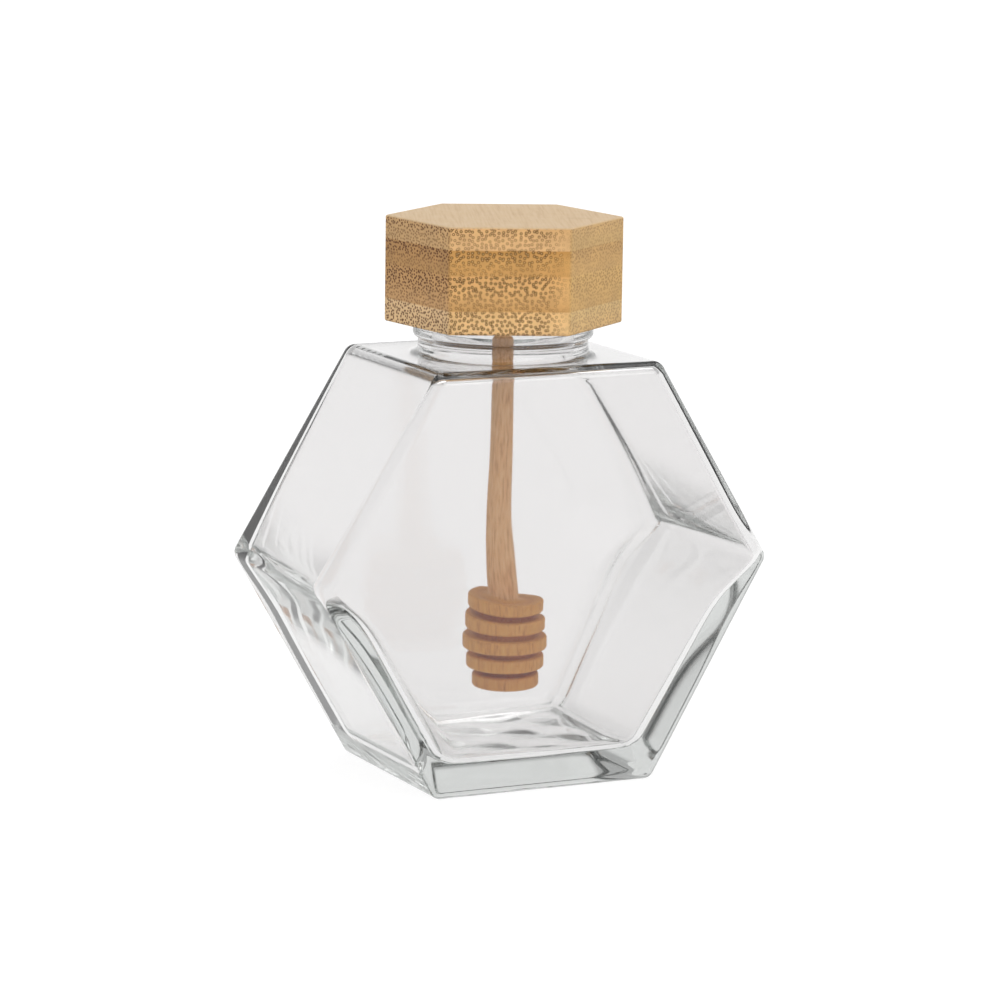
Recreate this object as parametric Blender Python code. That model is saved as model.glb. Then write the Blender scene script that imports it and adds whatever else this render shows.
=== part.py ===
"""Hexagonal glass honey pot with a bamboo lid and a turned wooden dipper.

Metres, +Z up. The origin is the middle of the underside, and the broad front face looks along -Y.
The jar stands on one side of its hexagon and carries a short round neck. The lid covers the neck
and rests on its bead. The dipper hangs from the lid by the top of its stick, clear of the floor.
"""

import math

import bmesh
import bpy

MM = 0.001
GAP = 0.3 * MM

# Jar body: a hexagon seen from the front, drawn out from front to back
WAIST_HALF = 58.0 * MM
BASE_HALF = 28.0 * MM
SHOULDER_HALF = 28.6 * MM
WAIST_HEIGHT = 51.5 * MM
SHOULDER_HEIGHT = 99.5 * MM
BODY_DEPTH = 54.5 * MM
EDGE_RADIUS = 3.0 * MM

# Glass thickness: even walls over a heavy floor
WALL = 3.2 * MM
FLOOR = 7.5 * MM
INNER_EDGE_RADIUS = 5.0 * MM

# Neck, its bead under the lid, and the plain finish inside the lid
NECK_RADIUS = 20.0 * MM
BORE_RADIUS = 16.8 * MM
NECK_FLARE = 1.8 * MM
BORE_FLARE = 3.0 * MM
BEAD_RADIUS = 21.2 * MM
BEAD_EDGE = 1.0 * MM
BEAD_BOTTOM = 103.5 * MM
BEAD_TOP = 106.5 * MM
BEAD_LOWER_TURN = -75.0
FINISH_RADIUS = 19.2 * MM
LIP_HEIGHT = 118.8 * MM
LIP_EDGE = 0.9 * MM
FLARE_BITE = 0.15 * MM
FLARE_END = 262.0
NECK_SINK = 2.2 * MM
STEP_GAP = 0.1 * MM

# Lid: a hexagonal block, turned on the neck, with a round recess and a blind hole for the stick
LID_RADIUS = 27.9 * MM
LID_TURN = math.radians(-22.7)
LID_BOTTOM = BEAD_TOP + GAP
LID_HEIGHT = 24.9 * MM
LID_EDGE = 0.5 * MM
RECESS_RADIUS = 20.0 * MM
RECESS_CEILING = LIP_HEIGHT + 0.4 * MM
STICK_HOLE_DEPTH = 8.0 * MM

# Dipper: five rings of a barrel, lowest first, on a stick that thickens towards them
RING_RADII = (8.3 * MM, 9.6 * MM, 10.4 * MM, 9.8 * MM, 9.1 * MM)
RING_PITCH = 4.65 * MM
RING_THICKNESS = 2.75 * MM
RING_ROUNDING = 1.1 * MM
GROOVE_DEPTH = 2.8 * MM
DIPPER_BOTTOM = 19.7 * MM
STICK_TOP_RADIUS = 2.45 * MM
STICK_FOOT_RADIUS = 2.95 * MM
STICK_CHAMFER = 0.5 * MM
STICK_STEPS = 6
RIM_STEPS = 4

# How finely round shapes are divided, and how far a cutter runs past what it opens
NECK_STEPS = 48
DIPPER_STEPS = 32
EDGE_SEGMENTS = 4
LID_EDGE_SEGMENTS = 2
ARC_STEPS = 4
OVERSHOOT = 2.0 * MM


def clear_scene():
    for thing in list(bpy.data.objects):
        bpy.data.objects.remove(thing, do_unlink=True)


def make_material(name, colour, roughness, transmission=0.0, ior=1.5):
    material = bpy.data.materials.new(name)
    material.use_nodes = True
    shader = material.node_tree.nodes["Principled BSDF"]
    shader.inputs["Base Color"].default_value = (*colour, 1.0)
    shader.inputs["Roughness"].default_value = roughness
    shader.inputs["Metallic"].default_value = 0.0
    shader.inputs["Transmission Weight"].default_value = transmission
    shader.inputs["IOR"].default_value = ior
    return material


def add_object(name, mesh, material=None):
    thing = bpy.data.objects.new(name, mesh)
    bpy.context.scene.collection.objects.link(thing)
    if material:
        mesh.materials.append(material)
    return thing


def mark_helper(thing):
    """A cutter or a guide: not rendered, and drawn as wire."""
    thing.hide_render = True
    thing.display_type = "WIRE"
    return thing


def arc(centre_r, centre_z, radius, start, end, steps=ARC_STEPS):
    """Points on a circle arc from start to end, in degrees, as (radius, height) pairs."""
    angles = [math.radians(start + (end - start) * i / steps) for i in range(steps + 1)]
    return [(centre_r + radius * math.cos(a), centre_z + radius * math.sin(a)) for a in angles]


def turned(name, profile, steps, material=None):
    """A profile of (radius, height) pairs, from the axis at the top to the axis at the bottom, spun round Z."""
    mesh = bpy.data.meshes.new(name)
    edges = [(i, i + 1) for i in range(len(profile) - 1)]
    mesh.from_pydata([(r, 0.0, z) for r, z in profile], edges, [])
    thing = add_object(name, mesh, material)
    screw = thing.modifiers.new("Spin", "SCREW")
    screw.axis = "Z"
    screw.angle = math.tau
    screw.steps = steps
    screw.render_steps = steps
    screw.use_merge_vertices = True
    screw.merge_threshold = 0.00001
    screw.use_smooth_shade = True
    return thing


def body_outline():
    """The outer hexagon's corners as (x, z), anticlockwise from the base's left end."""
    return [
        (-BASE_HALF, 0.0),
        (BASE_HALF, 0.0),
        (WAIST_HALF, WAIST_HEIGHT),
        (SHOULDER_HALF, SHOULDER_HEIGHT),
        (-SHOULDER_HALF, SHOULDER_HEIGHT),
        (-WAIST_HALF, WAIST_HEIGHT),
    ]


def inset_outline(outline, distances):
    """The outline with each side moved inwards by its own distance. Side i runs from corner i to the next."""
    lines = []
    for i, (x0, z0) in enumerate(outline):
        x1, z1 = outline[(i + 1) % len(outline)]
        length = math.hypot(x1 - x0, z1 - z0)
        inward = ((z0 - z1) / length, (x1 - x0) / length)
        lines.append((inward, inward[0] * x0 + inward[1] * z0 + distances[i]))
    corners = []
    for i, (normal, offset) in enumerate(lines):
        before, before_offset = lines[i - 1]
        det = before[0] * normal[1] - before[1] * normal[0]
        x = (before_offset * normal[1] - offset * before[1]) / det
        z = (before[0] * offset - normal[0] * before_offset) / det
        corners.append((x, z))
    return corners


def rounded_prism(name, outline, depth, edge_radius, material=None):
    """The outline drawn out along Y, with every edge rounded to one radius by weighted bevels."""
    bm = bmesh.new()
    corners = [bm.verts.new((x, -depth / 2, z)) for x, z in outline]
    front = bm.faces.new(corners)
    drawn = bmesh.ops.extrude_face_region(bm, geom=[front])
    moved = [item for item in drawn["geom"] if isinstance(item, bmesh.types.BMVert)]
    bmesh.ops.translate(bm, vec=(0.0, depth, 0.0), verts=moved)
    bmesh.ops.recalc_face_normals(bm, faces=bm.faces)
    weight = bm.edges.layers.float.new("bevel_weight_edge")
    for edge in bm.edges:
        # A fillet's setback on each face is its radius times the tangent of half the turn
        edge[weight] = math.tan(edge.calc_face_angle() / 2)
    mesh = bpy.data.meshes.new(name)
    bm.to_mesh(mesh)
    bm.free()
    mesh.shade_smooth()
    thing = add_object(name, mesh, material)
    bevel = thing.modifiers.new("Rounded edges", "BEVEL")
    bevel.limit_method = "WEIGHT"
    bevel.offset_type = "OFFSET"
    bevel.width = edge_radius
    bevel.segments = EDGE_SEGMENTS
    bevel.use_clamp_overlap = False
    return thing


def add_boolean(thing, other, operation):
    cut = thing.modifiers.new(operation.title() + " " + other.name, "BOOLEAN")
    cut.operation = operation
    cut.solver = "EXACT"
    cut.object = other


def neck_profile():
    """Outside of the neck, from the lip down over the bead to the flare that meets the shoulder."""
    bead_middle = BEAD_RADIUS - BEAD_EDGE
    flare_z = SHOULDER_HEIGHT + NECK_FLARE - FLARE_BITE
    foot = SHOULDER_HEIGHT - NECK_SINK
    profile = [(0.0, LIP_HEIGHT)]
    profile += arc(FINISH_RADIUS - LIP_EDGE, LIP_HEIGHT - LIP_EDGE, LIP_EDGE, 90, 0)
    profile += [(FINISH_RADIUS, BEAD_TOP)]
    profile += arc(bead_middle, BEAD_TOP - BEAD_EDGE, BEAD_EDGE, 90, 0)
    profile += arc(bead_middle, BEAD_BOTTOM + BEAD_EDGE, BEAD_EDGE, 0, BEAD_LOWER_TURN)
    profile += [(NECK_RADIUS, BEAD_BOTTOM - STEP_GAP)]
    profile += arc(NECK_RADIUS + NECK_FLARE, flare_z, NECK_FLARE, 180, FLARE_END)
    profile += [(NECK_RADIUS + NECK_FLARE, foot), (0.0, foot)]
    return profile


def bore_profile():
    """The hole down the neck, with a rounded lip above and a flare into the jar below."""
    ceiling = SHOULDER_HEIGHT - WALL
    top = LIP_HEIGHT + OVERSHOOT
    bottom = ceiling - OVERSHOOT
    profile = [(0.0, top), (BORE_RADIUS + LIP_EDGE, top)]
    profile += arc(BORE_RADIUS + LIP_EDGE, LIP_HEIGHT - LIP_EDGE, LIP_EDGE, 90, 180)
    flare_z = ceiling + BORE_FLARE - FLARE_BITE
    profile += arc(BORE_RADIUS + BORE_FLARE, flare_z, BORE_FLARE, 180, FLARE_END)
    profile += [(BORE_RADIUS + BORE_FLARE, bottom), (0.0, bottom)]
    return profile


def build_glass_jar():
    glass = make_material("clear soda glass", (0.93, 0.97, 0.95), 0.02, transmission=1.0, ior=1.52)
    outline = body_outline()
    cavity_outline = inset_outline(outline, [FLOOR, WALL, WALL, WALL, WALL, WALL])
    jar = rounded_prism("glass_jar", outline, BODY_DEPTH, EDGE_RADIUS, glass)
    neck = mark_helper(turned("neck_form", neck_profile(), NECK_STEPS))
    cavity = mark_helper(
        rounded_prism("cavity_form", cavity_outline, BODY_DEPTH - 2 * WALL, INNER_EDGE_RADIUS)
    )
    bore = mark_helper(turned("bore_form", bore_profile(), NECK_STEPS))
    add_boolean(jar, neck, "UNION")
    add_boolean(jar, cavity, "DIFFERENCE")
    add_boolean(jar, bore, "DIFFERENCE")
    return jar


def build_bamboo_lid():
    bamboo = make_material("laminated bamboo", (0.66, 0.44, 0.21), 0.55)
    bm = bmesh.new()
    bmesh.ops.create_circle(bm, cap_ends=True, segments=6, radius=LID_RADIUS)
    bottom = list(bm.faces)
    drawn = bmesh.ops.extrude_face_region(bm, geom=bottom)
    moved = [item for item in drawn["geom"] if isinstance(item, bmesh.types.BMVert)]
    bmesh.ops.translate(bm, vec=(0.0, 0.0, LID_HEIGHT), verts=moved)
    first = max(bm.verts, key=lambda v: v.co.x)
    turn = LID_TURN - math.atan2(first.co.y, first.co.x)
    for vert in bm.verts:
        x, y, z = vert.co
        vert.co = (
            x * math.cos(turn) - y * math.sin(turn),
            x * math.sin(turn) + y * math.cos(turn),
            z + LID_BOTTOM,
        )
    bmesh.ops.recalc_face_normals(bm, faces=bm.faces)
    mesh = bpy.data.meshes.new("bamboo_lid")
    bm.to_mesh(mesh)
    bm.free()
    lid = add_object("bamboo_lid", mesh, bamboo)
    bevel = lid.modifiers.new("Eased edges", "BEVEL")
    bevel.width = LID_EDGE
    bevel.segments = LID_EDGE_SEGMENTS
    hole_radius = STICK_TOP_RADIUS + GAP
    hole_top = RECESS_CEILING + STICK_HOLE_DEPTH
    below = LID_BOTTOM - OVERSHOOT
    hollow_profile = [
        (0.0, hole_top),
        (hole_radius, hole_top),
        (hole_radius, RECESS_CEILING),
        (RECESS_RADIUS, RECESS_CEILING),
        (RECESS_RADIUS, below),
        (0.0, below),
    ]
    hollow = mark_helper(turned("lid_hollow_form", hollow_profile, NECK_STEPS))
    add_boolean(lid, hollow, "DIFFERENCE")
    return lid


def ring_profile(radius, middle):
    """One ring's rim, from its groove above to its groove below."""
    half = RING_THICKNESS / 2
    rim = [(radius - GROOVE_DEPTH, middle + half)]
    for i in range(RIM_STEPS + 1):
        a = math.pi * (0.5 - i / RIM_STEPS)
        rim.append((radius - RING_ROUNDING * (1 - math.cos(a)), middle + half * math.sin(a)))
    rim.append((radius - GROOVE_DEPTH, middle - half))
    return rim


def dipper_profile():
    """The stick from its top down, then the rings from the highest to the lowest."""
    top = RECESS_CEILING + STICK_HOLE_DEPTH - GAP
    last = len(RING_RADII) - 1
    head_top = DIPPER_BOTTOM + last * RING_PITCH + RING_THICKNESS
    profile = [(0.0, top), (STICK_TOP_RADIUS - STICK_CHAMFER, top)]
    for i in range(STICK_STEPS + 1):
        t = i / STICK_STEPS
        radius = STICK_TOP_RADIUS + (STICK_FOOT_RADIUS - STICK_TOP_RADIUS) * t * t
        profile.append((radius, top - STICK_CHAMFER + (head_top + STICK_CHAMFER - top) * t))
    for i in range(last, -1, -1):
        rim = ring_profile(RING_RADII[i], DIPPER_BOTTOM + i * RING_PITCH + RING_THICKNESS / 2)
        # The head's own top and bottom faces run straight from the rim to the middle
        profile += rim[(i == last) : len(rim) - (i == 0)]
    profile.append((0.0, DIPPER_BOTTOM))
    return profile


def build_honey_dipper():
    beech = make_material("turned beech", (0.50, 0.30, 0.16), 0.6)
    return turned("honey_dipper", dipper_profile(), DIPPER_STEPS, beech)


def main():
    clear_scene()
    build_glass_jar()
    build_bamboo_lid()
    build_honey_dipper()


main()
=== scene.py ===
import math

import bmesh
import bpy
import numpy as np
from mathutils import Matrix, Vector


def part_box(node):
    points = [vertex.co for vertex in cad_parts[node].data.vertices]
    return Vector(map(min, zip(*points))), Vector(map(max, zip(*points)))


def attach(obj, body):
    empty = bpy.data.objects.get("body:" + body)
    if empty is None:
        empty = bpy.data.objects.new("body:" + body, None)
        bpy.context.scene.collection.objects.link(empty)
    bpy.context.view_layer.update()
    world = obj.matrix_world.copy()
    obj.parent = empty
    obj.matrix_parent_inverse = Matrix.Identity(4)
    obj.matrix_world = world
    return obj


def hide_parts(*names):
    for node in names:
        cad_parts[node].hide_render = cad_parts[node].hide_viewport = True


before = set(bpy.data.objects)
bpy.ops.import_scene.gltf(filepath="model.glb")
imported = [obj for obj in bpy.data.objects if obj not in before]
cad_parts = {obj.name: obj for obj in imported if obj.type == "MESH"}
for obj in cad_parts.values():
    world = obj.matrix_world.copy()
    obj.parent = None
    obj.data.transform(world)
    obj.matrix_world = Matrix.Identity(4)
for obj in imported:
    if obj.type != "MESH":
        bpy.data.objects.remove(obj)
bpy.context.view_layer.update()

mm = 0.001


# sRGB hex to the linear colour that shaders and lights take
def linear(hexText, alpha=1.0):
    values = [int(hexText[i:i + 2], 16) / 255 for i in (1, 3, 5)]
    return (*[v / 12.92 if v <= 0.04045 else ((v + 0.055) / 1.055) ** 2.4 for v in values], alpha)


def grey(level):
    return (level, level, level, 1.0)


# One node with its settings, its socket values and the sockets that feed it
def addNode(tree, kind, at=(0, 0), settings=None, values=None, links=None):
    node = tree.nodes.new(kind)
    node.location = at
    for key, value in (settings or {}).items():
        setattr(node, key, value)
    for socket, value in (values or {}).items():
        node.inputs[socket].default_value = value
    for socket, source in (links or {}).items():
        tree.links.new(source, node.inputs[socket])
    return node


def newMaterial(name):
    material = bpy.data.materials.new(name)
    material.use_nodes = True
    material.node_tree.nodes.clear()
    return material, material.node_tree


def setRamp(node, stops, interpolation="LINEAR"):
    ramp = node.color_ramp
    ramp.interpolation = interpolation
    while len(ramp.elements) > 1:
        ramp.elements.remove(ramp.elements[-1])
    ramp.elements[0].position, ramp.elements[0].color = stops[0]
    for position, colour in stops[1:]:
        ramp.elements.new(position).color = colour


# A closed skin from rings of points: quads join each ring to the next and each point to its neighbour.
# Rings run anticlockwise seen from above, from the bottom up the outside, so the faces point outwards.
def skinObject(name, rings, material):
    count, around, _ = rings.shape
    corner = np.arange(count * around).reshape(count, around)
    beside = np.roll(corner, -1, axis=1)
    quads = np.stack([corner[:-1], beside[:-1], beside[1:], corner[1:]], axis=-1).reshape(-1, 4)
    mesh = bpy.data.meshes.new(name)
    mesh.vertices.add(count * around)
    mesh.vertices.foreach_set("co", rings.astype(np.float32).ravel())
    mesh.loops.add(quads.size)
    mesh.loops.foreach_set("vertex_index", quads.astype(np.int32).ravel())
    mesh.polygons.add(len(quads))
    mesh.polygons.foreach_set("loop_start", np.arange(0, quads.size, 4, dtype=np.int32))
    mesh.update(calc_edges=True)
    closed = bmesh.new()
    closed.from_mesh(mesh)
    bmesh.ops.remove_doubles(closed, verts=closed.verts, dist=0.002 * mm)
    bmesh.ops.dissolve_degenerate(closed, edges=closed.edges, dist=0.001 * mm)
    closed.to_mesh(mesh)
    closed.free()
    mesh.shade_smooth()
    mesh.materials.append(material)
    piece = bpy.data.objects.new(name, mesh)
    bpy.context.scene.collection.objects.link(piece)
    return piece


# Evenly spaced values without the two ends, with a guard value close to each end,
# so that a flat face's smooth shading stays flat right up to its rounded edge
def flatSteps(count, guard=0.012):
    return np.concatenate([[-1 + guard], np.linspace(-1, 1, count)[1:-1], [1 - guard]])


# Points of a circle arc in a turned profile: start and end in degrees, one row of (radius, height) each
def arcPoints(centreR, centreZ, radius, start, end, steps):
    turn = np.radians(np.linspace(start, end, steps + 1))
    return np.stack([centreR + radius * np.cos(turn), centreZ + radius * np.sin(turn)], axis=1)


# Camera: placed by the direction it looks from, then rolled a little about its own axis
cameraView = dict(azimuth=-25.95, elevation=10.26, roll=0.846, distance=1.0545, targetHeight=64.3 * mm,
                  aside=-0.15 * mm, lens=161.03, sensor=36.0)


def placeCamera():
    turn, rise = math.radians(cameraView["azimuth"]), math.radians(cameraView["elevation"])
    back = Vector((math.sin(turn) * math.cos(rise), -math.cos(turn) * math.cos(rise), math.sin(rise)))
    levelRight = Vector((math.cos(turn), math.sin(turn), 0.0))
    levelUp = back.cross(levelRight)
    roll = math.radians(cameraView["roll"])
    right = levelRight * math.cos(roll) + levelUp * math.sin(roll)
    up = levelUp * math.cos(roll) - levelRight * math.sin(roll)
    target = levelRight * cameraView["aside"] + Vector((0, 0, cameraView["targetHeight"]))
    place = Matrix((right, up, back)).transposed().to_4x4()
    place.translation = target + back * cameraView["distance"]
    data = bpy.data.cameras.new("camera")
    data.lens = cameraView["lens"]
    data.sensor_width = cameraView["sensor"]
    data.clip_end = 50.0
    camera = bpy.data.objects.new("camera", data)
    camera.matrix_world = place
    bpy.context.scene.collection.objects.link(camera)
    bpy.context.scene.camera = camera


# Studio: a white floor and a white horizon, a grey ring above it that draws the glass's edges, a bright
# ceiling and one soft box at the front right. Heights of the sky are sines of the elevation.
studio = dict(floorRadius=4.0, floorTone=0.15, floorGlow=0.92, horizonLevel=1.0, horizonTop=0.26,
              ringLevel=0.55, ringStart=0.42, ringEnd=0.74, ceilingLevel=2.0, ceilingStart=0.88,
              keyPlace=(0.4, -2.0, 1.3), keySize=1.6, keyPower=16.0)


def buildStudio():
    world = bpy.data.worlds.new("soft white studio")
    bpy.context.scene.world = world
    world.use_nodes = True
    tree = world.node_tree
    tree.nodes.clear()
    where = addNode(tree, "ShaderNodeTexCoord", (-800, 0))
    split = addNode(tree, "ShaderNodeSeparateXYZ", (-600, 0), links={
        "Vector": where.outputs["Generated"]})
    ramp = addNode(tree, "ShaderNodeValToRGB", (-400, 0), links={"Fac": split.outputs["Z"]})
    setRamp(ramp, [
        (studio["horizonTop"], grey(studio["horizonLevel"])),
        (studio["ringStart"], grey(studio["ringLevel"])),
        (studio["ringEnd"], grey(studio["ringLevel"])),
        (studio["ceilingStart"], grey(studio["ceilingLevel"]))], "EASE")
    glow = addNode(tree, "ShaderNodeBackground", (-100, 0), links={"Color": ramp.outputs["Color"]})
    addNode(tree, "ShaderNodeOutputWorld", (100, 0), links={"Surface": glow.outputs["Background"]})

    data = bpy.data.lights.new("key soft box", "AREA")
    data.shape = "SQUARE"
    data.size = studio["keySize"]
    data.energy = studio["keyPower"]
    lamp = bpy.data.objects.new("key soft box", data)
    lamp.location = studio["keyPlace"]
    aim = Vector((0, 0, cameraView["targetHeight"])) - lamp.location
    lamp.rotation_euler = aim.to_track_quat("-Z", "Y").to_euler()
    bpy.context.scene.collection.objects.link(lamp)

    # Floor: a disc of rings round the middle, white acrylic lit from below, so with hardly any shadow
    material, tree = newMaterial("matt white acrylic, lit from below")
    shader = addNode(tree, "ShaderNodeBsdfDiffuse", (0, 100), values={
        "Color": grey(studio["floorTone"])})
    below = addNode(tree, "ShaderNodeEmission", (0, -100), values={"Strength": studio["floorGlow"]})
    both = addNode(tree, "ShaderNodeAddShader", (200, 0), links={
        0: shader.outputs["BSDF"], 1: below.outputs["Emission"]})
    addNode(tree, "ShaderNodeOutputMaterial", (400, 0), links={"Surface": both.outputs["Shader"]})
    turn = np.linspace(0, 2 * np.pi, 96, endpoint=False)
    radius = studio["floorRadius"] * np.linspace(1, 0, 12)[:, None] ** 2
    x, y = radius * np.cos(turn), radius * np.sin(turn)
    floor = skinObject("floor", np.stack([x, y, np.full_like(x, -0.02 * mm)], axis=-1), material)


# Glass jar: the outer form is a hexagonal prism lying front to back, the inner one smaller and softer
jar = dict(waistHalf=57.95 * mm, baseHalf=28.0 * mm, shoulderHalf=28.6 * mm, waistHeight=51.5 * mm,
           shoulderHeight=99.5 * mm, depth=54.5 * mm, edgeRadius=3.0 * mm,
           neckRadius=20.0 * mm, boreRadius=16.8 * mm, neckFlare=1.8 * mm, boreFlare=2.3 * mm,
           beadRadius=21.2 * mm, beadEdge=1.0 * mm, beadBottom=103.5 * mm, beadTop=106.5 * mm,
           finishRadius=19.2 * mm, lipHeight=118.8 * mm, lipEdge=0.9 * mm,
           puntDepth=0.7 * mm, puntEdge=4.0 * mm,
           flatPoints=34, sidePoints=40, cornerSteps=24)

# Inside of the jar, as blown: thin at the waist and above it, heavy below it. The side wall is measured
# level from the outer side line: at the waist itself, and as it settles below and above it. Triples give
# a size at the base, the waist and the shoulder. The back is heavier a little below the waist.
cavity = dict(waistWall=1.2 * mm, lowerWall=6.3 * mm, upperWall=1.8 * mm, settle=7.0 * mm,
              frontWall=(4.2 * mm, 2.6 * mm, 1.9 * mm), frontCorner=(6.5 * mm, 3.4 * mm, 1.9 * mm),
              backCorner=(6.0 * mm, 6.0 * mm, 1.5 * mm), waistSoftness=0.5 * mm,
              backWaist=3.4 * mm, backDrop=5.0 * mm, backReach=13.0 * mm,
              floor=7.5 * mm, floorRadius=3.0 * mm, roof=1.9 * mm, roofRadius=1.3 * mm)

# The glass is never quite even. Lengths are in millimetres, and those named across, up and deep are the
# way over which a wave turns by one radian.
waves = (
    dict(height=0.14, across=13.0, up=31.0, phase=0.6),
    dict(height=0.12, across=29.0, up=-17.0, phase=2.1))
shortWave = dict(height=0.03, across=7.5, up=14.0, bend=1.3)
floorWave = dict(height=0.3, across=3.4, deep=2.8, acrossPhase=0.4, deepPhase=1.1)

# Bands in which the inner front wall slopes sideways and so shifts what stands behind it: the wide one
# moves the dipper's head to the right, the narrow one its stick to the left. The slope is a ratio, the
# rest is in millimetres: middle and reach across, the two heights, and how far each end takes to fade.
swells = (
    dict(middle=-12.0, reach=26.0, slope=-0.085, low=2.0, high=66.0, lowFade=10.0, highFade=10.0),
    dict(middle=-13.2, reach=9.0, slope=0.17, low=46.5, high=70.0, lowFade=5.5, highFade=9.0))


# The hexagon's right half as three corners after every side is moved in by a distance: the waist corner
# is where the two moved side lines cross
def insetOutline(inset):
    baseHalf, waistHalf, shoulderHalf = jar["baseHalf"], jar["waistHalf"], jar["shoulderHalf"]
    waistZ, topZ = jar["waistHeight"], jar["shoulderHeight"]
    lowRun, highRun = (waistHalf - baseHalf) / waistZ, (shoulderHalf - waistHalf) / (topZ - waistZ)
    lowStart = baseHalf - inset * math.hypot(1, lowRun)
    highStart = waistHalf - highRun * waistZ - inset * math.hypot(1, highRun)
    meet = (highStart - lowStart) / (lowRun - highRun)
    return dict(lowX=lowStart + lowRun * inset, lowZ=inset, lowRun=lowRun,
                waistX=lowStart + lowRun * meet, waistZ=meet,
                highX=highStart + highRun * (topZ - inset), highZ=topZ - inset, highRun=highRun)


# Half width of the rounded outline at height z: a circle of radius roll goes round the inset hexagon,
# so the outline is straight along the sides and an arc at each corner
def outlineHalf(form, z, roll):
    def arcAt(x, height):
        return x + np.sqrt(np.maximum(roll ** 2 - (z - height) ** 2, 0))

    lowCos, highCos = 1 / math.hypot(1, form["lowRun"]), 1 / math.hypot(1, form["highRun"])
    lowSin, highSin = form["lowRun"] * lowCos, -form["highRun"] * highCos
    z, roll = np.broadcast_arrays(z, roll)
    lowSide = form["lowX"] + roll * lowCos + (z - form["lowZ"] + roll * lowSin) * form["lowRun"]
    highSide = form["highX"] + roll * highCos + (z - form["highZ"] - roll * highSin) * form["highRun"]
    return np.select(
        [z < form["lowZ"] - roll * lowSin, z < form["waistZ"] - roll * lowSin,
         z <= form["waistZ"] + roll * highSin, z <= form["highZ"] + roll * highSin],
        [arcAt(form["lowX"], form["lowZ"]), lowSide, arcAt(form["waistX"], form["waistZ"]), highSide],
        arcAt(form["highX"], form["highZ"]))


# Rings round all four sides from a back and a front quarter. A quarter holds the corner arc, from the
# side to the front or back, as positive x and y, and the x of the flat. Rings start at the right side.
def joinSides(z, back, front, sideShare):
    backX, backY, backFlat = back
    frontX, frontY, frontFlat = front
    share = (sideShare[None, :] + 1) / 2
    sideX = frontX[:, :1] * (1 - share) + backX[:, :1] * share
    sideY = -frontY[:, :1] * (1 - share) + backY[:, :1] * share
    backEdge = np.repeat(backY[:, -1:], backFlat.shape[1], axis=1)
    frontEdge = np.repeat(-frontY[:, -1:], frontFlat.shape[1], axis=1)
    x = np.concatenate([sideX, backX, backFlat[:, ::-1], -backX[:, ::-1],
                        -sideX[:, ::-1], -frontX, frontFlat, frontX[:, ::-1]], axis=1)
    y = np.concatenate([sideY, backY, backEdge, backY[:, ::-1],
                        sideY[:, ::-1], -frontY, frontEdge, -frontY[:, ::-1]], axis=1)
    return np.stack([x, y, np.broadcast_to(z, x.shape)], axis=-1)


# Level rings of the rounded prism at the heights z: along each ring the edge circle turns from facing
# sideways to facing front or back, and its shrinking sideways reach sets the half width there
def prismRings(form, z, halfDepth, radius):
    z = np.asarray(z)[:, None]
    flatDepth = halfDepth - radius
    past = np.maximum(np.maximum(form["lowZ"] - z, z - form["highZ"]), 0)
    fullTurn = np.arccos(np.clip(past / radius, 0, 1))
    steps = np.linspace(0, 1, jar["cornerSteps"] + 1)[None, :]
    turn = fullTurn * steps
    cornerX = outlineHalf(form, z, radius * np.cos(turn))
    cornerY = flatDepth + radius * np.sin(turn)
    quarter = (cornerX, cornerY, cornerX[:, -1:] * flatSteps(jar["flatPoints"])[None, :])
    return joinSides(z, quarter, quarter, flatSteps(jar["sidePoints"]))


# Heights from floor to shoulder: close together on the rounded edges, with guard rows beside them, and
# wide apart on the flats
def prismHeights(form, radius, flatRows):
    bend = np.linspace(0, math.pi / 2, 10)
    guard = 0.25 * mm
    lowSin = form["lowRun"] / math.hypot(1, form["lowRun"])
    highSin = -form["highRun"] / math.hypot(1, form["highRun"])
    waistStart, waistEnd = form["waistZ"] - radius * lowSin, form["waistZ"] + radius * highSin
    return np.concatenate([
        form["lowZ"] - radius * np.cos(bend),
        [form["lowZ"] + guard],
        np.linspace(form["lowZ"], waistStart, flatRows)[1:-1],
        [waistStart - guard],
        np.linspace(waistStart, waistEnd, 9),
        [waistEnd + guard],
        np.linspace(waistEnd, form["highZ"], flatRows)[1:-1],
        [form["highZ"] - guard],
        form["highZ"] + radius * np.sin(bend)])


# Rings of a turned profile: each (radius, height) row goes round the given directions
def turnedRings(profile, turn):
    radius, height = profile[:, :1], profile[:, 1:]
    return np.stack([radius * np.cos(turn), radius * np.sin(turn), np.repeat(height, len(turn), axis=1)],
                    axis=-1)


joinShares = (0.1, 0.35, 0.65, 0.9)    # where rings stand on the flats that join two forms


# Rings between two rings: straight from each point to its partner, at the given shares of the way
def blendRings(first, last, shares=joinShares):
    shares = np.asarray(shares)[:, None, None]
    return first[None] * (1 - shares) + last[None] * shares


# A size that changes with height: the parabola through its base, waist and shoulder values
def atHeight(name, z):
    base, waist, top = cavity[name]
    waistZ, topZ = jar["waistHeight"], jar["shoulderHeight"]
    return (base * (z - waistZ) * (z - topZ) / (waistZ * topZ)
            + waist * z * (z - topZ) / (waistZ * (waistZ - topZ))
            + top * z * (z - waistZ) / (topZ * (topZ - waistZ)))


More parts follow.
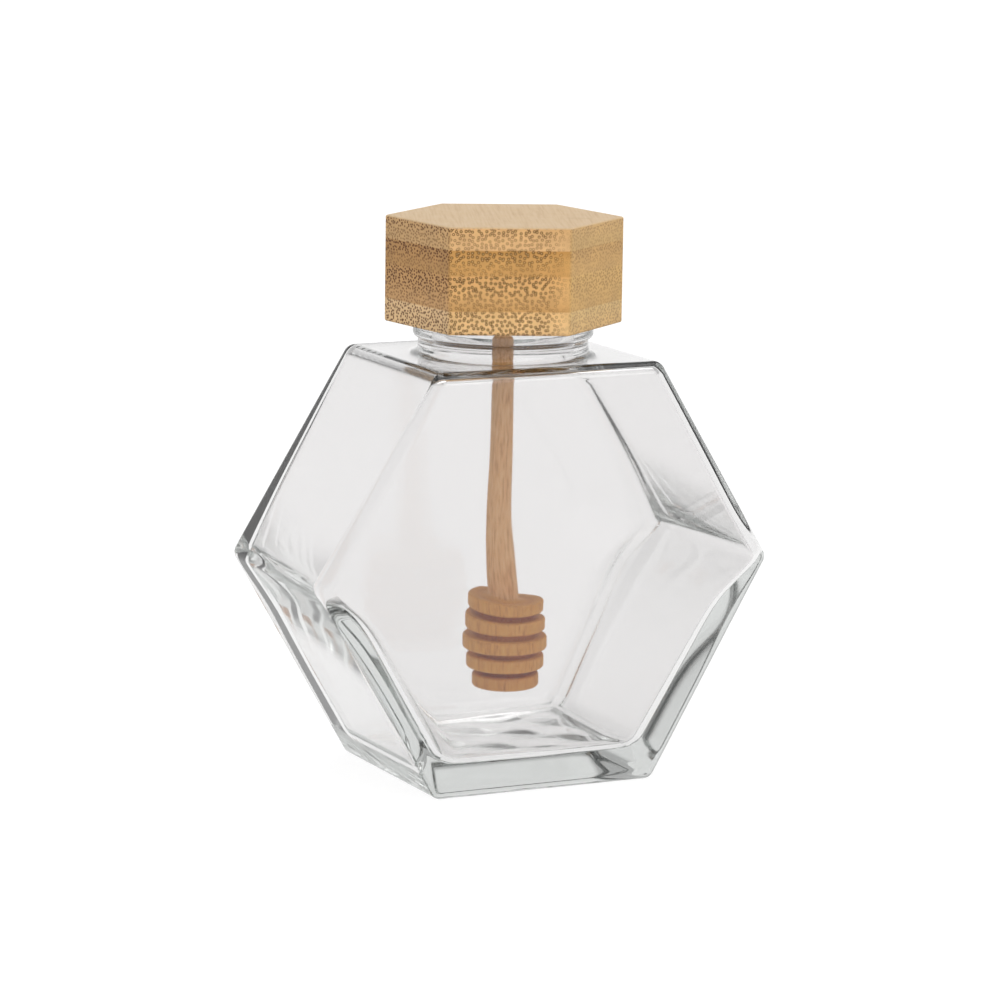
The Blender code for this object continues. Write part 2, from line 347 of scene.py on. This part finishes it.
# Level rings of the cavity: rounded rectangles inside the hexagon that draw in on the floor and the roof
def cavityRings(z):
    def fillet(past, radius):
        return radius - np.sqrt(np.maximum(radius ** 2 - np.maximum(past, 0) ** 2, 0))

    z = np.asarray(z)
    low, high = cavity["floor"], jar["shoulderHeight"] - cavity["roof"]
    waistZ, topZ = jar["waistHeight"], jar["shoulderHeight"]
    backZ = waistZ - cavity["backDrop"]
    lowGrowth, highGrowth = jar["waistHalf"] - jar["baseHalf"], jar["shoulderHalf"] - jar["waistHalf"]
    lowSide = jar["baseHalf"] + lowGrowth * z / waistZ
    highSide = jar["waistHalf"] + highGrowth * (z - waistZ) / (topZ - waistZ)
    # The wall goes from its waist value to its settled value by a bell curve of the distance from the
    # waist, and a soft least value of the two sides rounds the waist
    settled = np.where(z < waistZ, cavity["lowerWall"], cavity["upperWall"])
    wall = settled + (cavity["waistWall"] - settled) * np.exp(-((z - waistZ) / cavity["settle"]) ** 2)
    soft = cavity["waistSoftness"]
    drawIn = (fillet(low + cavity["floorRadius"] - z, cavity["floorRadius"])
              + fillet(z - high + cavity["roofRadius"], cavity["roofRadius"]))
    frontHalf = lowSide - soft * np.log1p(np.exp((lowSide - highSide) / soft)) - wall - drawIn
    backHalf = frontHalf - cavity["backWaist"] * np.exp(-((z - backZ) / cavity["backReach"]) ** 2)
    halfDepth = jar["depth"] / 2 - atHeight("frontWall", z) - drawIn
    turn = np.linspace(0, math.pi / 2, jar["cornerSteps"] + 1)[None, :]
    quarters = []
    for name, halfWidth in (("backCorner", backHalf), ("frontCorner", frontHalf)):
        corner = np.maximum(atHeight(name, z) - drawIn, 0.8 * mm)[:, None]
        flatHalf = halfWidth[:, None] - corner
        quarters.append((flatHalf + corner * np.cos(turn),
                         halfDepth[:, None] - corner + corner * np.sin(turn),
                         flatHalf * flatSteps(jar["flatPoints"])[None, :]))
    return joinSides(z[:, None], *quarters, flatSteps(jar["sidePoints"]))


# Heights from the cavity's roof down to its floor, close together on the fillets and at the waist
def cavityHeights(ceiling):
    bend = np.linspace(0, math.pi / 2, 10)
    roofEnd, floorStart = ceiling - cavity["roofRadius"], cavity["floor"] + cavity["floorRadius"]
    waistTop, waistLow = jar["waistHeight"] + 9 * mm, jar["waistHeight"] - 16 * mm
    return np.concatenate([
        ceiling - cavity["roofRadius"] * (1 - np.cos(bend)),
        np.linspace(roofEnd, waistTop, 28)[1:],
        np.linspace(waistTop, waistLow, 56)[1:],
        np.linspace(waistLow, floorStart, 26)[1:-1],
        floorStart - cavity["floorRadius"] * np.sin(bend)])


# Waves of the inner front and back walls: a sum of sines of place that fades towards the sides, and on
# the front the swells, each a slope inside a bell curve across and a band with soft ends up and down
def waveInnerWall(rings):
    x, y, z = rings[..., 0] / mm, rings[..., 1] / mm, rings[..., 2] / mm
    halfDepth = np.abs(y).max(axis=1, keepdims=True)
    facing = (np.abs(y) / halfDepth) ** 6
    long = sum(wave["height"] * np.sin(x / wave["across"] + z / wave["up"] + wave["phase"])
               for wave in waves)
    bend = shortWave["bend"] * np.sin(z / shortWave["up"])
    short = shortWave["height"] * np.sin(x / shortWave["across"] + bend)
    rings[..., 1] += np.sign(y) * facing * (long + short) * mm
    for swell in swells:
        band = (np.tanh((z - swell["low"]) / swell["lowFade"])
                - np.tanh((z - swell["high"]) / swell["highFade"])) / 2
        aside = x - swell["middle"]
        slant = swell["slope"] * aside * np.exp(-(aside / swell["reach"]) ** 2)
        rings[..., 1] += (y < 0) * facing * band * slant * mm
    return rings


def buildGlass():
    radius = jar["edgeRadius"]
    outer = insetOutline(radius)
    outside = prismRings(outer, prismHeights(outer, radius, 22), jar["depth"] / 2, radius)
    ceiling = jar["shoulderHeight"] - cavity["roof"]
    inside = waveInnerWall(cavityRings(cavityHeights(ceiling)))
    around = outside.shape[1]
    turn = (np.arange(around) - (jar["sidePoints"] - 1) / 2) * 2 * math.pi / around

    # Underside: a shallow punt inside the bearing edge, eased by a half cosine
    share = np.linspace(0, 1, 14)[:-1]
    under = outside[0][None] * share[:, None, None]
    reach = np.linalg.norm(outside[0][:, :2], axis=1)[None, :] * (1 - share[:, None])
    ease = np.clip(reach / jar["puntEdge"], 0, 1)
    under[..., 2] = jar["puntDepth"] * (0.5 - 0.5 * np.cos(math.pi * ease))

    # Neck: flare, neck, bead, finish, lip, bore and its flare into the jar
    flareZ = jar["shoulderHeight"] + jar["neckFlare"]
    beadMiddle = jar["beadRadius"] - jar["beadEdge"]
    lipZ = jar["lipHeight"] - jar["lipEdge"]
    flareEnd = ceiling + jar["boreFlare"]
    neck = np.concatenate([
        arcPoints(jar["neckRadius"] + jar["neckFlare"], flareZ, jar["neckFlare"], 270, 180, 10),
        [(jar["neckRadius"], jar["beadBottom"] - 0.2 * mm)],
        arcPoints(beadMiddle, jar["beadBottom"] + jar["beadEdge"], jar["beadEdge"], -78, 0, 8),
        arcPoints(beadMiddle, jar["beadTop"] - jar["beadEdge"], jar["beadEdge"], 0, 90, 8),
        [(jar["finishRadius"] + 0.3 * mm, jar["beadTop"]),
         (jar["finishRadius"], jar["beadTop"] + 0.3 * mm)],
        arcPoints(jar["finishRadius"] - jar["lipEdge"], lipZ, jar["lipEdge"], 0, 90, 6),
        arcPoints(jar["boreRadius"] + jar["lipEdge"], lipZ, jar["lipEdge"], 90, 180, 6),
        [(jar["boreRadius"], z) for z in np.linspace(lipZ - 0.5 * mm, flareEnd + 0.3 * mm, 8)],
        arcPoints(jar["boreRadius"] + jar["boreFlare"], flareEnd, jar["boreFlare"], 180, 270, 10)])
    neckRings = turnedRings(neck, turn)
    shoulder = blendRings(outside[-1], neckRings[0])
    roof = blendRings(neckRings[-1], inside[0])
    floorMiddle = np.zeros_like(inside[-1])
    floorMiddle[:, 2] = cavity["floor"]
    floorShare = np.linspace(0, 1, 26)[1:]
    floorRings = blendRings(inside[-1], floorMiddle, floorShare)
    # The floor inside ripples a little, by a product of two sines that fades in from its edge
    acrossSine = np.sin(floorRings[..., 0] / (floorWave["across"] * mm) + floorWave["acrossPhase"])
    deepSine = np.sin(floorRings[..., 1] / (floorWave["deep"] * mm) + floorWave["deepPhase"])
    ripple = acrossSine * deepSine * np.minimum(floorShare * 4, 1)[:, None]
    floorRings[..., 2] += floorWave["height"] * mm * ripple
    rings = np.concatenate([under, outside, shoulder, neckRings, roof, inside, floorRings])
    piece = skinObject("jar_glass", rings, clearGlass())
    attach(piece, "root")
    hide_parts("glass_jar")


# Clear soda glass, pressed and fire polished: reflections that a trace of unevenness softens, edges that
# bend the light away from the white backdrop and so go grey, a faint green where the way through is long
glass = dict(surface="#f0efef", roughness=0.05, ior=1.52, tint="#8f9e96", tintDensity=8.0)


def clearGlass():
    material, tree = newMaterial("clear pressed soda glass")
    shader = addNode(tree, "ShaderNodeBsdfPrincipled", (0, 0), values={
        "Base Color": linear(glass["surface"]), "Roughness": glass["roughness"], "IOR": glass["ior"],
        "Transmission Weight": 1.0})
    tint = addNode(tree, "ShaderNodeVolumeAbsorption", (0, -300), values={
        "Color": linear(glass["tint"]), "Density": glass["tintDensity"]})
    addNode(tree, "ShaderNodeOutputMaterial", (300, 0), links={
        "Surface": shader.outputs["BSDF"], "Volume": tint.outputs["Volume"]})
    return material


# Bamboo lid: a hexagonal block with a round recess and a blind hole
lid = dict(radius=27.9 * mm, turn=-22.7, cornerRadius=0.9 * mm, edge=0.5 * mm,
           recessRadius=20.0 * mm, recessCeiling=119.2 * mm, holeRadius=2.75 * mm, holeDepth=8.0 * mm,
           flatPoints=12, cornerSteps=6)


# One level ring of the hexagon, moved in by a distance: six straight flats joined by six corner arcs
def hexagonRing(inset):
    apothem = lid["radius"] * math.cos(math.pi / 6)
    radius = lid["cornerRadius"] - inset
    centre = (apothem - lid["cornerRadius"]) / math.cos(math.pi / 6)
    corners = np.radians(lid["turn"] + 60 * np.arange(6))[:, None]
    arc = corners + np.radians(np.linspace(-30, 30, lid["cornerSteps"] + 1))[None, :]
    arcX = centre * np.cos(corners) + radius * np.cos(arc)
    arcY = centre * np.sin(corners) + radius * np.sin(arc)
    share = (flatSteps(lid["flatPoints"], 0.03)[None, :] + 1) / 2
    nextX, nextY = np.roll(arcX[:, :1], -1, axis=0), np.roll(arcY[:, :1], -1, axis=0)
    flatX = arcX[:, -1:] * (1 - share) + nextX * share
    flatY = arcY[:, -1:] * (1 - share) + nextY * share
    return np.concatenate([arcX, flatX], axis=1).ravel(), np.concatenate([arcY, flatY], axis=1).ravel()


def buildLid():
    low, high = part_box("bamboo_lid")
    bottom, top, edge = low[2], high[2], lid["edge"]
    bend = np.linspace(0, math.pi / 2, 6)
    # The outside as (inset, height) rows, from the underside's outer edge to the top face
    sideRows = np.concatenate([
        np.stack([edge * (1 - np.sin(bend)), bottom + edge * (1 - np.cos(bend))], axis=1),
        [(0.0, bottom + edge + 0.1 * mm)],
        [(0.0, z) for z in np.linspace(bottom + 2 * mm, top - 2 * mm, 10)],
        [(0.0, top - edge - 0.1 * mm)],
        np.stack([edge * (1 - np.cos(bend)), top - edge * (1 - np.sin(bend))], axis=1)])
    rings = []
    for inset, height in sideRows:
        x, y = hexagonRing(inset)
        rings.append(np.stack([x, y, np.full_like(x, height)], axis=-1))
    outside = np.array(rings)
    turn = np.arctan2(outside[0][:, 1], outside[0][:, 0])
    ceiling, hole = lid["recessCeiling"], lid["holeRadius"]
    holeTop = ceiling + lid["holeDepth"]
    hollow = np.array([
        (0.0, holeTop), (hole - 0.2 * mm, holeTop), (hole, holeTop - 0.2 * mm),
        (hole, ceiling + 0.3 * mm), (hole + 0.3 * mm, ceiling),
        (lid["recessRadius"] - 0.3 * mm, ceiling), (lid["recessRadius"], ceiling - 0.3 * mm),
        (lid["recessRadius"], bottom + 0.4 * mm), (lid["recessRadius"] + 0.4 * mm, bottom)])
    hollowRings = turnedRings(hollow, turn)
    underside = blendRings(hollowRings[-1], outside[0], [0.1, 0.5, 0.9])
    topMiddle = np.zeros_like(outside[-1])
    topMiddle[:, 2] = top
    topRings = blendRings(outside[-1], topMiddle, [0.02, 0.2, 0.4, 0.6, 0.8, 1.0])
    piece = skinObject("lid_block", np.concatenate([hollowRings, underside, outside, topRings]),
                       laminatedBamboo(bottom, top))
    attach(piece, "root")
    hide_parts("bamboo_lid")


# Laminated bamboo, sanded and oiled: a dull sheen. The front and the back show the cut ends of the fibre
# bundles as dark eyes with a light middle, the slanting sides finer specks, the top faint streaks along
# the fibres and one node line across them. Each ply is darkest and closest grained at its top.
# Eye and speck edges are shares of their spacing, and the tones have one line for each ply, from the top
# down, with the place as a share of the lid's height.
bamboo = dict(
    eyeSpacing=0.98 * mm, eyeColours=("#f0c987", "#472202"), eyeMiddle=(0.08, 0.16),
    eyeEdge=(0.32, 0.39), eyeScatter=0.74, eyeFadeFrom=8.0 * mm, eyeFadeTo=13.2 * mm, eyeFaint=0.15,
    speckSpacing=0.72 * mm, speckColour="#52290a", speckEdge=(0.22, 0.44), speckScatter=0.9,
    speckFaint=0.45, speckStretch=1.7,
    streakWidth=0.5 * mm, streakLength=14.0 * mm, patchSize=5.0 * mm, patchShades=(0.86, 1.08),
    nodeColour="#6b421a", nodeAt=(16.8 * mm, -4.2 * mm), nodeHalf=3.1 * mm, nodeWidth=0.28 * mm,
    nodeStrength=0.4, pitDepth=0.08 * mm, pitStrength=0.4, roughness=(0.42, 0.62), sheen=0.2,
    frontTones=(
        (0.0, "#c79a65"), (0.03, "#cea46f"), (0.20, "#d0a775"), (0.212, "#cea573"),
        (0.218, "#b7874a"), (0.30, "#c09254"), (0.45, "#c09155"),
        (0.455, "#cd9e62"), (0.58, "#cea167"), (0.70, "#c49860"), (0.776, "#bd9057"),
        (0.782, "#d7ae76"), (0.96, "#dab37d"), (1.0, "#cfa674")),
    # Left faces: the middle plies are darker than on the right faces, which is painted shade
    leftTonesWithPaintedShade=(
        (0.0, "#bd9767"), (0.212, "#bf9a6a"),
        (0.218, "#a97f4e"), (0.45, "#b18753"),
        (0.456, "#b78c58"), (0.776, "#be9463"),
        (0.782, "#d6b487"), (1.0, "#d1ae80")),
    rightTones=(
        (0.0, "#be9b68"), (0.212, "#bc9a65"),
        (0.218, "#b8925c"), (0.45, "#ba955f"),
        (0.456, "#c09b61"), (0.776, "#ba955e"),
        (0.782, "#c7a772"), (1.0, "#c6a26e")),
    eyeStrengths=(
        (0.0, 0.95), (0.05, 0.85), (0.12, 0.55), (0.205, 0.5),
        (0.218, 1.0), (0.30, 0.85), (0.37, 0.45), (0.445, 0.5),
        (0.458, 1.0), (0.58, 0.95), (0.68, 0.6), (0.775, 0.5),
        (0.79, 0.85), (1.0, 0.9)),
    topTones=((0.25, "#b99c79"), (0.5, "#c4aa87"), (0.8, "#c8b090")))


def laminatedBamboo(bottom, top):
    material, tree = newMaterial("laminated bamboo, oiled")
    where = addNode(tree, "ShaderNodeTexCoord", (-2400, 0))
    # Turned so that X runs across the front face, Y along the fibres and Z up
    turned = addNode(tree, "ShaderNodeMapping", (-2200, 0), values={
        "Rotation": (0, 0, math.radians(-lid["turn"]))}, links={"Vector": where.outputs["Object"]})
    split = addNode(tree, "ShaderNodeSeparateXYZ", (-2000, 0), links={
        "Vector": turned.outputs["Vector"]})
    across, along, up = (split.outputs[axis] for axis in "XYZ")
    share = addNode(tree, "ShaderNodeMapRange", (-1800, 400), values={
        "From Min": top, "From Max": bottom}, links={"Value": up}).outputs["Result"]

    # Which face: masks for the two slanting sides on the left, the two on the right, and the top
    half = lid["radius"] / 2
    left = addNode(tree, "ShaderNodeMapRange", (-1800, -600), values={
        "From Min": -half + 0.5 * mm, "From Max": -half - 0.1 * mm},
        links={"Value": across}).outputs["Result"]
    right = addNode(tree, "ShaderNodeMapRange", (-1800, -800), values={
        "From Min": half - 0.5 * mm, "From Max": half + 0.1 * mm},
        links={"Value": across}).outputs["Result"]
    level = addNode(tree, "ShaderNodeMapRange", (-1800, -1000), values={
        "From Min": top - 0.45 * mm, "From Max": top - 0.1 * mm}, links={"Value": up}).outputs["Result"]

    # Ply tones of each face, mottled by soft patches; the left faces' middle plies are darker than the
    # right faces' by painted shade
    faces = []
    for row, name in enumerate(("frontTones", "leftTonesWithPaintedShade", "rightTones")):
        ramp = addNode(tree, "ShaderNodeValToRGB", (-1500, 1100 - 250 * row), links={"Fac": share})
        setRamp(ramp, [(at, linear(tone)) for at, tone in bamboo[name]])
        faces.append(ramp.outputs["Color"])
    withLeft = addNode(tree, "ShaderNodeMix", (-1200, 1000), {"data_type": "RGBA"}, links={
        0: left, 6: faces[0], 7: faces[1]})
    plies = addNode(tree, "ShaderNodeMix", (-1000, 900), {"data_type": "RGBA"}, links={
        0: right, 6: withLeft.outputs[2], 7: faces[2]})
    patches = addNode(tree, "ShaderNodeTexNoise", (-1500, 300), values={
        "Scale": 1 / bamboo["patchSize"], "Detail": 4.0, "Roughness": 0.65},
        links={"Vector": turned.outputs["Vector"]})
    shading = addNode(tree, "ShaderNodeMapRange", (-1200, 300), values={
        "From Min": 0.3, "From Max": 0.7,
        "To Min": bamboo["patchShades"][0], "To Max": bamboo["patchShades"][1]},
        links={"Value": patches.outputs["Fac"]})
    mottled = addNode(tree, "ShaderNodeMix", (-800, 700), {
        "data_type": "RGBA", "blend_type": "MULTIPLY"}, {0: 1.0}, {
        6: plies.outputs[2], 7: shading.outputs["Result"]})

    # Eyes: the distance to the nearest bundle drawn as a ring, strongest where the grain is closest, and
    # fading towards the right end of the front face
    strengths = addNode(tree, "ShaderNodeValToRGB", (-1500, 0), links={"Fac": share})
    setRamp(strengths, [(at, grey(value)) for at, value in bamboo["eyeStrengths"]])
    plane = addNode(tree, "ShaderNodeCombineXYZ", (-1800, 100), links={"X": across, "Y": up})
    eyes = addNode(tree, "ShaderNodeTexVoronoi", (-1500, -250), {"voronoi_dimensions": "2D"}, {
        "Scale": 1 / bamboo["eyeSpacing"], "Randomness": bamboo["eyeScatter"]}, {
        "Vector": plane.outputs["Vector"]})
    eyeRing = addNode(tree, "ShaderNodeValToRGB", (-1200, -250), links={"Fac": eyes.outputs["Distance"]})
    inner, outer = bamboo["eyeEdge"]
    setRamp(eyeRing, [(0.0, grey(1.0)), (inner, grey(1.0)), (outer, grey(0.0))])
    eyeTone = addNode(tree, "ShaderNodeValToRGB", (-1200, -100), links={"Fac": eyes.outputs["Distance"]})
    setRamp(eyeTone, [(at, linear(tone)) for at, tone in zip(bamboo["eyeMiddle"], bamboo["eyeColours"])])
    fade = addNode(tree, "ShaderNodeMapRange", (-1200, -500), values={
        "From Min": bamboo["eyeFadeFrom"], "From Max": bamboo["eyeFadeTo"],
        "To Min": 1.0, "To Max": bamboo["eyeFaint"]}, links={"Value": across})
    eyeDepth = addNode(tree, "ShaderNodeMath", (-900, -100), {"operation": "MULTIPLY"}, links={
        0: eyeRing.outputs["Color"], 1: strengths.outputs["Color"]})
    eyeMask = addNode(tree, "ShaderNodeMath", (-700, -200), {"operation": "MULTIPLY"}, links={
        0: eyeDepth.outputs["Value"], 1: fade.outputs["Result"]})

    # Specks on the slanting sides: the same bundles cut at a slant, so drawn out; fainter on the right
    slantPlane = addNode(tree, "ShaderNodeMapping", (-1800, -300), values={
        "Scale": (bamboo["speckStretch"], 1.0, 1.0)}, links={"Vector": plane.outputs["Vector"]})
    specks = addNode(tree, "ShaderNodeTexVoronoi", (-1500, -700), {"voronoi_dimensions": "2D"}, {
        "Scale": 1 / bamboo["speckSpacing"], "Randomness": bamboo["speckScatter"]}, {
        "Vector": slantPlane.outputs["Vector"]})
    speckSpot = addNode(tree, "ShaderNodeValToRGB", (-1200, -750), links={
        "Fac": specks.outputs["Distance"]})
    inner, outer = bamboo["speckEdge"]
    setRamp(speckSpot, [(0.0, grey(1.0)), (inner, grey(1.0)), (outer, grey(0.0))])
    faint = addNode(tree, "ShaderNodeMapRange", (-1200, -1000), values={
        "To Min": 1.0, "To Max": bamboo["speckFaint"]}, links={"Value": right})
    speckDepth = addNode(tree, "ShaderNodeMath", (-900, -600), {"operation": "MULTIPLY"}, links={
        0: speckSpot.outputs["Color"], 1: strengths.outputs["Color"]})
    speckMask = addNode(tree, "ShaderNodeMath", (-700, -600), {"operation": "MULTIPLY"}, links={
        0: speckDepth.outputs["Value"], 1: faint.outputs["Result"]})

    # One mask and one colour for both kinds, none on the top
    slanting = addNode(tree, "ShaderNodeMath", (-900, -900), {"operation": "MAXIMUM"}, links={
        0: left, 1: right})
    sideGrain = addNode(tree, "ShaderNodeMix", (-500, -300), {"data_type": "FLOAT"}, links={
        0: slanting.outputs["Value"], 2: eyeMask.outputs["Value"], 3: speckMask.outputs["Value"]})
    belowTop = addNode(tree, "ShaderNodeMath", (-700, -1000), {"operation": "SUBTRACT"}, {0: 1.0}, {
        1: level})
    grain = addNode(tree, "ShaderNodeMath", (-300, -300), {"operation": "MULTIPLY"}, links={
        0: sideGrain.outputs[0], 1: belowTop.outputs["Value"]}).outputs["Value"]
    mark = addNode(tree, "ShaderNodeMix", (-500, 200), {"data_type": "RGBA"}, {
        7: linear(bamboo["speckColour"])}, {0: slanting.outputs["Value"], 6: eyeTone.outputs["Color"]})
    sides = addNode(tree, "ShaderNodeMix", (-200, 500), {"data_type": "RGBA"}, links={
        0: grain, 6: mottled.outputs[2], 7: mark.outputs[2]})

    # Top: streaks along the fibres and the node line across them
    stretched = addNode(tree, "ShaderNodeMapping", (-1800, 1600), values={
        "Scale": (1 / bamboo["streakWidth"], 1 / bamboo["streakLength"], 1 / bamboo["streakWidth"])},
        links={"Vector": turned.outputs["Vector"]})
    streaks = addNode(tree, "ShaderNodeTexNoise", (-1500, 1600), values={"Scale": 1.0, "Detail": 4.0},
                      links={"Vector": stretched.outputs["Vector"]})
    topTone = addNode(tree, "ShaderNodeValToRGB", (-1200, 1600), links={"Fac": streaks.outputs["Fac"]})
    setRamp(topTone, [(at, linear(tone)) for at, tone in bamboo["topTones"]])
    onLine = addNode(tree, "ShaderNodeMath", (-1500, 1900), {"operation": "COMPARE"}, {
        1: bamboo["nodeAt"][1], 2: bamboo["nodeWidth"] / 2}, {0: along})
    inReach = addNode(tree, "ShaderNodeMath", (-1500, 2100), {"operation": "COMPARE"}, {
        1: bamboo["nodeAt"][0], 2: bamboo["nodeHalf"]}, {0: across})
    line = addNode(tree, "ShaderNodeMath", (-1200, 2000), {"operation": "MULTIPLY"}, links={
        0: onLine.outputs["Value"], 1: inReach.outputs["Value"]})
    soft = addNode(tree, "ShaderNodeMath", (-1000, 2000), {"operation": "MULTIPLY"}, {
        1: bamboo["nodeStrength"]}, {0: line.outputs["Value"]})
    topFace = addNode(tree, "ShaderNodeMix", (-800, 1700), {"data_type": "RGBA"}, {
        7: linear(bamboo["nodeColour"])}, {0: soft.outputs["Value"], 6: topTone.outputs["Color"]})
    colour = addNode(tree, "ShaderNodeMix", (0, 600), {"data_type": "RGBA"}, links={
        0: level, 6: sides.outputs[2], 7: topFace.outputs[2]})

    # The eyes are shallow pits that the oil has not filled
    height = addNode(tree, "ShaderNodeMath", (-100, -300), {"operation": "SUBTRACT"}, {0: 1.0}, {
        1: grain})
    bump = addNode(tree, "ShaderNodeBump", (100, -200), values={
        "Strength": bamboo["pitStrength"], "Distance": bamboo["pitDepth"]},
        links={"Height": height.outputs["Value"]})
    gloss = addNode(tree, "ShaderNodeMapRange", (100, 100), values={
        "To Min": bamboo["roughness"][0], "To Max": bamboo["roughness"][1]},
        links={"Value": patches.outputs["Fac"]})
    shader = addNode(tree, "ShaderNodeBsdfPrincipled", (400, 0), values={
        "IOR": 1.46, "Specular IOR Level": bamboo["sheen"]}, links={
        "Base Color": colour.outputs[2], "Roughness": gloss.outputs["Result"],
        "Normal": bump.outputs["Normal"]})
    addNode(tree, "ShaderNodeOutputMaterial", (700, 0), links={"Surface": shader.outputs["BSDF"]})
    return material


# Honey dipper: five rings of a barrel, lowest first, on a stick that thickens towards them
dipper = dict(ringRadii=(8.3, 9.6, 10.4, 9.8, 9.1), ringPitch=4.55 * mm, ringThickness=3.15 * mm,
              ringRounding=0.62 * mm, faceSlope=0.25 * mm, grooveDepth=3.0 * mm, stickTop=2.45 * mm,
              stickFoot=3.05 * mm, chamfer=0.5 * mm, around=96)


def buildDipper():
    low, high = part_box("honey_dipper")
    bottom, top = low[2], high[2]
    half, rounding, slope = dipper["ringThickness"] / 2, dipper["ringRounding"], dipper["faceSlope"]
    rows = [[(0.0, bottom), (3 * mm, bottom)]]
    # Each ring: a slightly sloping face, a rounded edge, a straight rim and the same again mirrored
    for i, ringRadius in enumerate(dipper["ringRadii"]):
        radius, middle = ringRadius * mm, bottom + i * dipper["ringPitch"] + half
        groove = radius - dipper["grooveDepth"]
        rows.append([(groove, middle - half + slope * (i > 0))])
        rows.append(arcPoints(radius - rounding, middle - half + rounding, rounding, -88, 0, 8))
        rows.append(arcPoints(radius - rounding, middle + half - rounding, rounding, 0, 88, 8))
        rows.append([(groove, middle + half - slope)])
    headTop = bottom + 4 * dipper["ringPitch"] + 2 * half
    rise = np.linspace(0, 1, 40)
    stick = dipper["stickTop"] + (dipper["stickFoot"] - dipper["stickTop"]) * (1 - rise) ** 2
    rows.append(np.stack([stick, headTop + (top - dipper["chamfer"] - headTop) * rise], axis=1))
    rows.append([(dipper["stickTop"] - dipper["chamfer"], top), (0.0, top)])
    turn = np.linspace(0, 2 * np.pi, dipper["around"], endpoint=False)
    piece = skinObject("dipper_wood", turnedRings(np.concatenate(rows), turn), turnedBeech())
    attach(piece, "root")
    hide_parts("honey_dipper")


# Turned beech, bare and dull: tan with short dark flecks along the stick, deeper where the head's rings
# show end grain, with painted shade making the grooves between them darkest
beech = dict(fleckWidth=0.45 * mm, fleckStretch=0.10,
             tones=((0.30, "#cb8a4c"), (0.48, "#f0b67a"), (0.72, "#f8ca93")),
             headTint="#f4e1aa", headTop=41.05 * mm,
             grooveShadeColour="#cc8a2c", grooveFrom=8.6 * mm, grooveTo=6.2 * mm, roughness=0.6)


def turnedBeech():
    material, tree = newMaterial("turned beech, bare")
    where = addNode(tree, "ShaderNodeTexCoord", (-1400, 0))
    along = addNode(tree, "ShaderNodeMapping", (-1200, 0), values={
        "Scale": (1, 1, beech["fleckStretch"])}, links={"Vector": where.outputs["Object"]})
    flecks = addNode(tree, "ShaderNodeTexNoise", (-1000, 0), values={
        "Scale": 1 / beech["fleckWidth"], "Detail": 5.0, "Roughness": 0.6},
        links={"Vector": along.outputs["Vector"]})
    tone = addNode(tree, "ShaderNodeValToRGB", (-800, 0), links={"Fac": flecks.outputs["Fac"]})
    setRamp(tone, [(at, linear(colour)) for at, colour in beech["tones"]])
    split = addNode(tree, "ShaderNodeSeparateXYZ", (-1200, -400), links={
        "Vector": where.outputs["Object"]})
    onHead = addNode(tree, "ShaderNodeMapRange", (-1000, -400), values={
        "From Min": beech["headTop"] + 0.6 * mm, "From Max": beech["headTop"] - 0.1 * mm},
        links={"Value": split.outputs["Z"]})
    head = addNode(tree, "ShaderNodeMix", (-500, 0), {"data_type": "RGBA", "blend_type": "MULTIPLY"}, {
        7: linear(beech["headTint"])}, {0: onHead.outputs["Result"], 6: tone.outputs["Color"]})

    # Painted shade in the grooves: the distance from the axis tells them from the rims, and the head's
    # top face is left out
    radius = addNode(tree, "ShaderNodeCombineXYZ", (-1000, -700), links={
        "X": split.outputs["X"], "Y": split.outputs["Y"]})
    reach = addNode(tree, "ShaderNodeVectorMath", (-800, -700), {"operation": "LENGTH"}, links={
        0: radius.outputs["Vector"]})
    inGroove = addNode(tree, "ShaderNodeMapRange", (-600, -600), values={
        "From Min": beech["grooveFrom"], "From Max": beech["grooveTo"]},
        links={"Value": reach.outputs["Value"]})
    belowTop = addNode(tree, "ShaderNodeMapRange", (-600, -900), values={
        "From Min": beech["headTop"] - 0.1 * mm, "From Max": beech["headTop"] - 0.8 * mm},
        links={"Value": split.outputs["Z"]})
    deep = addNode(tree, "ShaderNodeMath", (-400, -500), {"operation": "MULTIPLY"}, links={
        0: inGroove.outputs["Result"], 1: belowTop.outputs["Result"]})
    # The grooves darkened by painted shade
    colour = addNode(tree, "ShaderNodeMix", (-200, 0), {"data_type": "RGBA", "blend_type": "MULTIPLY"}, {
        7: linear(beech["grooveShadeColour"])}, {0: deep.outputs["Value"], 6: head.outputs[2]})
    shader = addNode(tree, "ShaderNodeBsdfPrincipled", (0, 0), values={
        "Roughness": beech["roughness"]}, links={"Base Color": colour.outputs[2]})
    addNode(tree, "ShaderNodeOutputMaterial", (300, 0), links={"Surface": shader.outputs["BSDF"]})
    return material


placeCamera()
print("camera placed")
buildStudio()
print("studio built")
buildGlass()
print("glass built")
buildLid()
print("lid built")
buildDipper()
print("dipper built")

# Light crosses many glass walls here, so a path may bend and reflect more often than the default allows
bounces = dict(max_bounces=24, transmission_bounces=24, glossy_bounces=12, transparent_max_bounces=12)
for setting, count in bounces.items():
    setattr(bpy.context.scene.cycles, setting, count)
bpy.context.scene.view_settings.view_transform = "Standard"
